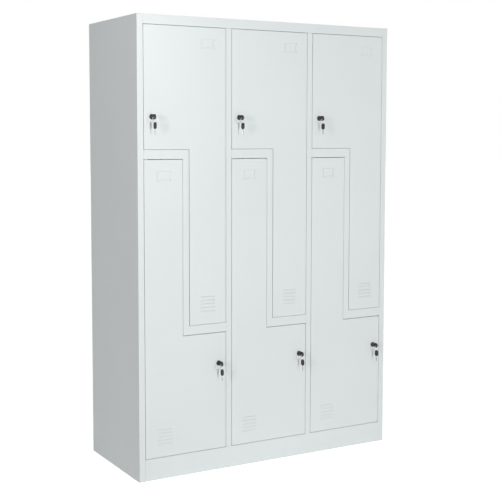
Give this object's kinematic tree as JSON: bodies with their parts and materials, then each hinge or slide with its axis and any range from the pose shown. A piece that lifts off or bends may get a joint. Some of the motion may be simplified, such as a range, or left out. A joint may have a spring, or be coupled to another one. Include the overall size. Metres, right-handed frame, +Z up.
{
  "type": "metal storage cabinet",
  "caption": "Steel clothes locker with columns of interlocking Z-shaped hinged doors, louvres, card holders, keyed cam locks, shelves and coat rails.",
  "frame": {"origin": "on the floor under the middle of the box round the whole object, its keys included; the doors' faces lie 0.2295 m in front of it", "axes": "+Z up, -Y out of the front, +X to the right as seen from the front"},
  "size_m": [1.2, 0.541, 1.85],
  "materials": {
    "body_paint": "fine textured semi-gloss powder coat, pale grey-white",
    "door_paint": "semi-gloss powder coat, pale grey-white",
    "lock_black": "glossy black lacquer on the bezel, plain zinc behind the door",
    "lock_chrome": "polished chrome plate",
    "bright_steel": "bright drawn steel",
    "ring_steel": "bright nickel-plated spring wire",
    "key_plastic": "matt black moulded bow on a steel blade"
  },
  "bodies": {
    "carcass": {"side_panel_left": "body_paint", "side_panel_right": "body_paint", "top_panel": "body_paint", "plinth": "body_paint", "floor_panel": "body_paint", "back_panel": "body_paint", "column_divider_left": "body_paint", "column_divider_middle": "body_paint", "z_partition_left": "body_paint", "z_partition_middle": "body_paint", "z_partition_right": "body_paint", "hinge_rod_upper_left": "bright_steel", "coat_rail_upper_left": "bright_steel", "hinge_rod_upper_middle": "bright_steel", "coat_rail_upper_middle": "bright_steel", "hinge_rod_upper_right": "bright_steel", "coat_rail_upper_right": "bright_steel", "hinge_rod_lower_left": "bright_steel", "coat_rail_lower_left": "bright_steel", "hinge_rod_lower_middle": "bright_steel", "coat_rail_lower_middle": "bright_steel", "hinge_rod_lower_right": "bright_steel", "coat_rail_lower_right": "bright_steel"},
    "door_upper_left": {"door_panel_upper_left": "door_paint", "lock_body_upper_left": "lock_black"},
    "lock_upper_left": {"lock_cam_upper_left": "lock_chrome"},
    "key_upper_left": {"key_upper_left": "key_plastic"},
    "ring_upper_left": {"key_ring_upper_left": "ring_steel"},
    "spare_upper_left": {"spare_key_upper_left": "key_plastic"},
    "door_upper_middle": {"door_panel_upper_middle": "door_paint", "lock_body_upper_middle": "lock_black"},
    "lock_upper_middle": {"lock_cam_upper_middle": "lock_chrome"},
    "key_upper_middle": {"key_upper_middle": "key_plastic"},
    "ring_upper_middle": {"key_ring_upper_middle": "ring_steel"},
    "spare_upper_middle": {"spare_key_upper_middle": "key_plastic"},
    "door_upper_right": {"door_panel_upper_right": "door_paint", "lock_body_upper_right": "lock_black"},
    "lock_upper_right": {"lock_cam_upper_right": "lock_chrome"},
    "key_upper_right": {"key_upper_right": "key_plastic"},
    "ring_upper_right": {"key_ring_upper_right": "ring_steel"},
    "spare_upper_right": {"spare_key_upper_right": "key_plastic"},
    "door_lower_left": {"door_panel_lower_left": "door_paint", "lock_body_lower_left": "lock_black"},
    "lock_lower_left": {"lock_cam_lower_left": "lock_chrome"},
    "key_lower_left": {"key_lower_left": "key_plastic"},
    "ring_lower_left": {"key_ring_lower_left": "ring_steel"},
    "spare_lower_left": {"spare_key_lower_left": "key_plastic"},
    "door_lower_middle": {"door_panel_lower_middle": "door_paint", "lock_body_lower_middle": "lock_black"},
    "lock_lower_middle": {"lock_cam_lower_middle": "lock_chrome"},
    "key_lower_middle": {"key_lower_middle": "key_plastic"},
    "ring_lower_middle": {"key_ring_lower_middle": "ring_steel"},
    "spare_lower_middle": {"spare_key_lower_middle": "key_plastic"},
    "door_lower_right": {"door_panel_lower_right": "door_paint", "lock_body_lower_right": "lock_black"},
    "lock_lower_right": {"lock_cam_lower_right": "lock_chrome"},
    "key_lower_right": {"key_lower_right": "key_plastic"},
    "ring_lower_right": {"key_ring_lower_right": "ring_steel"},
    "spare_lower_right": {"spare_key_lower_right": "key_plastic"}
  },
  "joints": [
    {"name": "door_upper_left_swing", "type": "hinge", "parent": "carcass", "child": "door_upper_left", "pos_m": [-0.2195, -0.2245, 1.4535], "axis": [0, 0, 1], "range_deg": [0, 95]},
    {"name": "lock_upper_left_turn", "type": "hinge", "parent": "door_upper_left", "child": "lock_upper_left", "pos_m": [-0.5385, -0.2295, 1.4535], "axis": [0, 1, 0], "range_deg": [0, 90]},
    {"name": "key_upper_left_slide", "type": "slide", "parent": "lock_upper_left", "child": "key_upper_left", "axis": [0, -1, 0], "range_m": [0, 0.03]},
    {"name": "ring_upper_left_swing", "type": "hinge", "parent": "key_upper_left", "child": "ring_upper_left", "pos_m": [-0.5385, -0.2605, 1.4535], "axis": [-1, 0, 0], "range_deg": [-15, 90]},
    {"name": "spare_upper_left_hang", "type": "hinge", "parent": "ring_upper_left", "child": "spare_upper_left", "pos_m": [-0.5385, -0.2605, 1.4406], "axis": [0, 1, 0], "range_deg": [-90, 0]},
    {"name": "door_upper_middle_swing", "type": "hinge", "parent": "carcass", "child": "door_upper_middle", "pos_m": [0.1715, -0.2245, 1.4535], "axis": [0, 0, 1], "range_deg": [0, 95]},
    {"name": "lock_upper_middle_turn", "type": "hinge", "parent": "door_upper_middle", "child": "lock_upper_middle", "pos_m": [-0.1475, -0.2295, 1.4535], "axis": [0, 1, 0], "range_deg": [0, 90]},
    {"name": "key_upper_middle_slide", "type": "slide", "parent": "lock_upper_middle", "child": "key_upper_middle", "axis": [0, -1, 0], "range_m": [0, 0.03]},
    {"name": "ring_upper_middle_swing", "type": "hinge", "parent": "key_upper_middle", "child": "ring_upper_middle", "pos_m": [-0.1475, -0.2605, 1.4535], "axis": [-1, 0, 0], "range_deg": [-15, 90]},
    {"name": "spare_upper_middle_hang", "type": "hinge", "parent": "ring_upper_middle", "child": "spare_upper_middle", "pos_m": [-0.1475, -0.2605, 1.4406], "axis": [0, 1, 0], "range_deg": [-90, 0]},
    {"name": "door_upper_right_swing", "type": "hinge", "parent": "carcass", "child": "door_upper_right", "pos_m": [0.5625, -0.2245, 1.4535], "axis": [0, 0, 1], "range_deg": [0, 95]},
    {"name": "lock_upper_right_turn", "type": "hinge", "parent": "door_upper_right", "child": "lock_upper_right", "pos_m": [0.2435, -0.2295, 1.4535], "axis": [0, 1, 0], "range_deg": [0, 90]},
    {"name": "key_upper_right_slide", "type": "slide", "parent": "lock_upper_right", "child": "key_upper_right", "axis": [0, -1, 0], "range_m": [0, 0.03]},
    {"name": "ring_upper_right_swing", "type": "hinge", "parent": "key_upper_right", "child": "ring_upper_right", "pos_m": [0.2435, -0.2605, 1.4535], "axis": [-1, 0, 0], "range_deg": [-15, 90]},
    {"name": "spare_upper_right_hang", "type": "hinge", "parent": "ring_upper_right", "child": "spare_upper_right", "pos_m": [0.2435, -0.2605, 1.4406], "axis": [0, 1, 0], "range_deg": [-90, 0]},
    {"name": "door_lower_left_swing", "type": "hinge", "parent": "carcass", "child": "door_lower_left", "pos_m": [-0.5625, -0.2245, 0.4475], "axis": [0, 0, -1], "range_deg": [0, 95]},
    {"name": "lock_lower_left_turn", "type": "hinge", "parent": "door_lower_left", "child": "lock_lower_left", "pos_m": [-0.2435, -0.2295, 0.4475], "axis": [0, -1, 0], "range_deg": [0, 90]},
    {"name": "key_lower_left_slide", "type": "slide", "parent": "lock_lower_left", "child": "key_lower_left", "axis": [0, -1, 0], "range_m": [0, 0.03]},
    {"name": "ring_lower_left_swing", "type": "hinge", "parent": "key_lower_left", "child": "ring_lower_left", "pos_m": [-0.2435, -0.2605, 0.4475], "axis": [-1, 0, 0], "range_deg": [-15, 90]},
    {"name": "spare_lower_left_hang", "type": "hinge", "parent": "ring_lower_left", "child": "spare_lower_left", "pos_m": [-0.2435, -0.2605, 0.4346], "axis": [0, -1, 0], "range_deg": [-90, 0]},
    {"name": "door_lower_middle_swing", "type": "hinge", "parent": "carcass", "child": "door_lower_middle", "pos_m": [-0.1715, -0.2245, 0.4475], "axis": [0, 0, -1], "range_deg": [0, 95]},
    {"name": "lock_lower_middle_turn", "type": "hinge", "parent": "door_lower_middle", "child": "lock_lower_middle", "pos_m": [0.1475, -0.2295, 0.4475], "axis": [0, -1, 0], "range_deg": [0, 90]},
    {"name": "key_lower_middle_slide", "type": "slide", "parent": "lock_lower_middle", "child": "key_lower_middle", "axis": [0, -1, 0], "range_m": [0, 0.03]},
    {"name": "ring_lower_middle_swing", "type": "hinge", "parent": "key_lower_middle", "child": "ring_lower_middle", "pos_m": [0.1475, -0.2605, 0.4475], "axis": [-1, 0, 0], "range_deg": [-15, 90]},
    {"name": "spare_lower_middle_hang", "type": "hinge", "parent": "ring_lower_middle", "child": "spare_lower_middle", "pos_m": [0.1475, -0.2605, 0.4346], "axis": [0, -1, 0], "range_deg": [-90, 0]},
    {"name": "door_lower_right_swing", "type": "hinge", "parent": "carcass", "child": "door_lower_right", "pos_m": [0.2195, -0.2245, 0.4475], "axis": [0, 0, -1], "range_deg": [0, 95]},
    {"name": "lock_lower_right_turn", "type": "hinge", "parent": "door_lower_right", "child": "lock_lower_right", "pos_m": [0.5385, -0.2295, 0.4475], "axis": [0, -1, 0], "range_deg": [0, 90]},
    {"name": "key_lower_right_slide", "type": "slide", "parent": "lock_lower_right", "child": "key_lower_right", "axis": [0, -1, 0], "range_m": [0, 0.03]},
    {"name": "ring_lower_right_swing", "type": "hinge", "parent": "key_lower_right", "child": "ring_lower_right", "pos_m": [0.5385, -0.2605, 0.4475], "axis": [-1, 0, 0], "range_deg": [-15, 90]},
    {"name": "spare_lower_right_hang", "type": "hinge", "parent": "ring_lower_right", "child": "spare_lower_right", "pos_m": [0.5385, -0.2605, 0.4346], "axis": [0, -1, 0], "range_deg": [-90, 0]}
  ],
  "couplings": [
    {"joint": "spare_upper_left_hang", "follows": "lock_upper_left_turn", "ratio": -1},
    {"joint": "spare_upper_middle_hang", "follows": "lock_upper_middle_turn", "ratio": -1},
    {"joint": "spare_upper_right_hang", "follows": "lock_upper_right_turn", "ratio": -1},
    {"joint": "spare_lower_left_hang", "follows": "lock_lower_left_turn", "ratio": -1},
    {"joint": "spare_lower_middle_hang", "follows": "lock_lower_middle_turn", "ratio": -1},
    {"joint": "spare_lower_right_hang", "follows": "lock_lower_right_turn", "ratio": -1}
  ]
}
